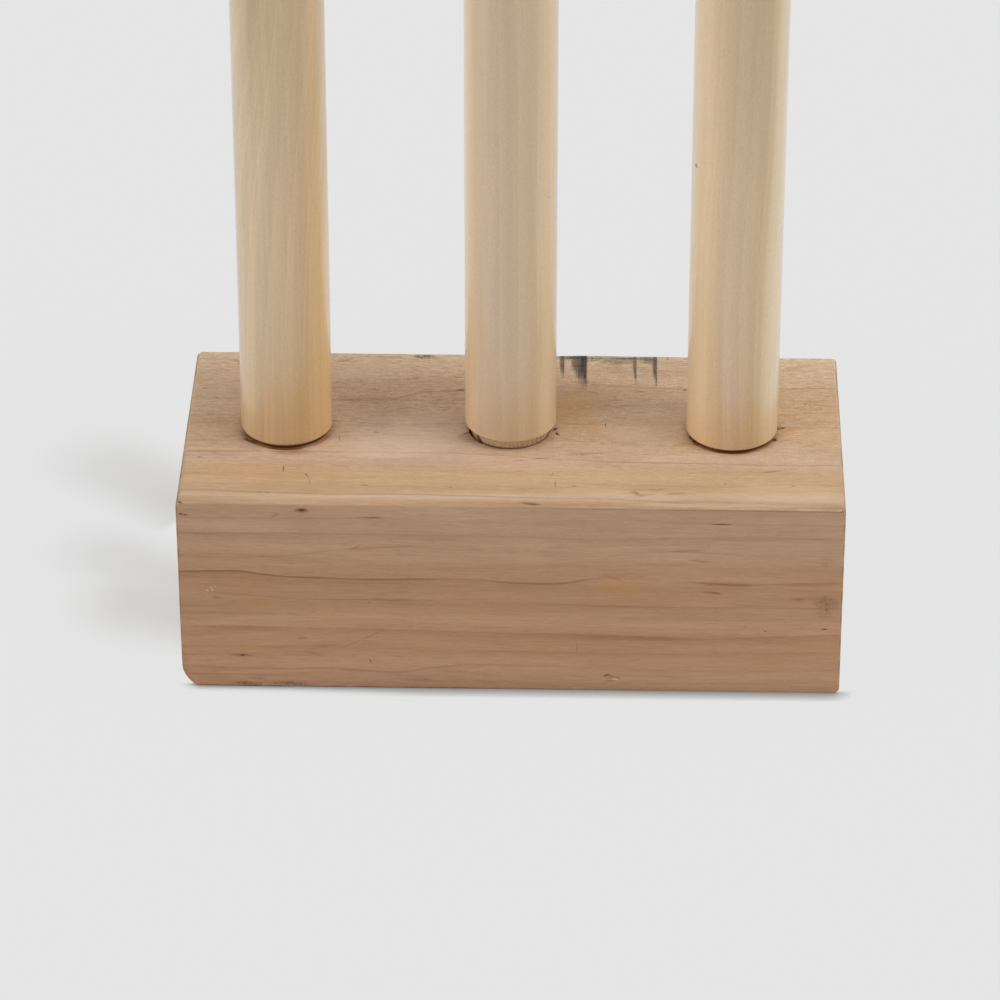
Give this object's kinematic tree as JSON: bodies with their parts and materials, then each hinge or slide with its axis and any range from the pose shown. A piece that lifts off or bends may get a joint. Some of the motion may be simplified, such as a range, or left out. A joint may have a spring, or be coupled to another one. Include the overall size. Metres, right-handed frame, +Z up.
{
  "type": "cricket stumps",
  "caption": "Free-standing wooden wicket: turned stumps with tenons standing in blind holes of a heavy wooden block, and bails lying in the grooves on their tops.",
  "frame": {"origin": "middle of the block's underside, on the ground", "axes": "+X along the wicket to the right as seen from the front, +Y from the front to the back, +Z up"},
  "size_m": [0.274, 0.1254, 0.718],
  "materials": {
    "block_wood": "planed and bare, with a dull sheen",
    "stump_wood": "turned and clear lacquered, satin",
    "bail_wood": "turned and clear lacquered, satin"
  },
  "bodies": {
    "block": {"base_block": "block_wood"},
    "left_stump": {"left_stump": "stump_wood"},
    "middle_stump": {"middle_stump": "stump_wood"},
    "right_stump": {"right_stump": "stump_wood"},
    "left_bail": {"left_bail": "bail_wood"},
    "right_bail": {"right_bail": "bail_wood"}
  },
  "joints": [
    {"name": "left_stump_lift", "type": "slide", "parent": "block", "child": "left_stump", "axis": [0, 0, 1], "range_m": [0, 0.07]},
    {"name": "middle_stump_lift", "type": "slide", "parent": "block", "child": "middle_stump", "axis": [0, 0, 1], "range_m": [0, 0.07]},
    {"name": "right_stump_lift", "type": "slide", "parent": "block", "child": "right_stump", "axis": [0, 0, 1], "range_m": [0, 0.07]},
    {"name": "left_bail_lift", "type": "slide", "parent": "left_stump", "child": "left_bail", "axis": [0, 0, 1], "range_m": [0, 0.07]},
    {"name": "right_bail_lift", "type": "slide", "parent": "right_stump", "child": "right_bail", "axis": [0, 0, 1], "range_m": [0, 0.07]}
  ],
  "couplings": [
    {"joint": "left_bail_lift", "follows": "middle_stump_lift", "ratio": 1},
    {"joint": "right_bail_lift", "follows": "middle_stump_lift", "ratio": 1}
  ]
}
